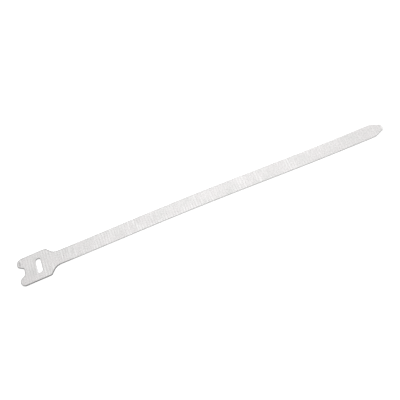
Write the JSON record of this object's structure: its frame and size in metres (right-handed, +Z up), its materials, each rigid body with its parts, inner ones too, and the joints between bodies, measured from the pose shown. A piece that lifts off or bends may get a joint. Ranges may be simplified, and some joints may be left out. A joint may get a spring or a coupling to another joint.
{
  "type": "hook and loop cable tie",
  "caption": "Reusable flat cable tie of white ribbed hook and loop tape, with a wide slotted and notched head, a long strap and a tapered tip.",
  "frame": {"origin": "middle of the tie's underside, on the surface that it lies on", "axes": "+X along the strap from the slotted head to the tip, +Y across the strap, +Z up from the hooked underside to the ribbed top"},
  "size_m": [0.33, 0.0256, 0.0018],
  "materials": {
    "tape": "matte"
  },
  "bodies": {
    "root": {"cable_tie": "tape"}
  },
  "joints": []
}
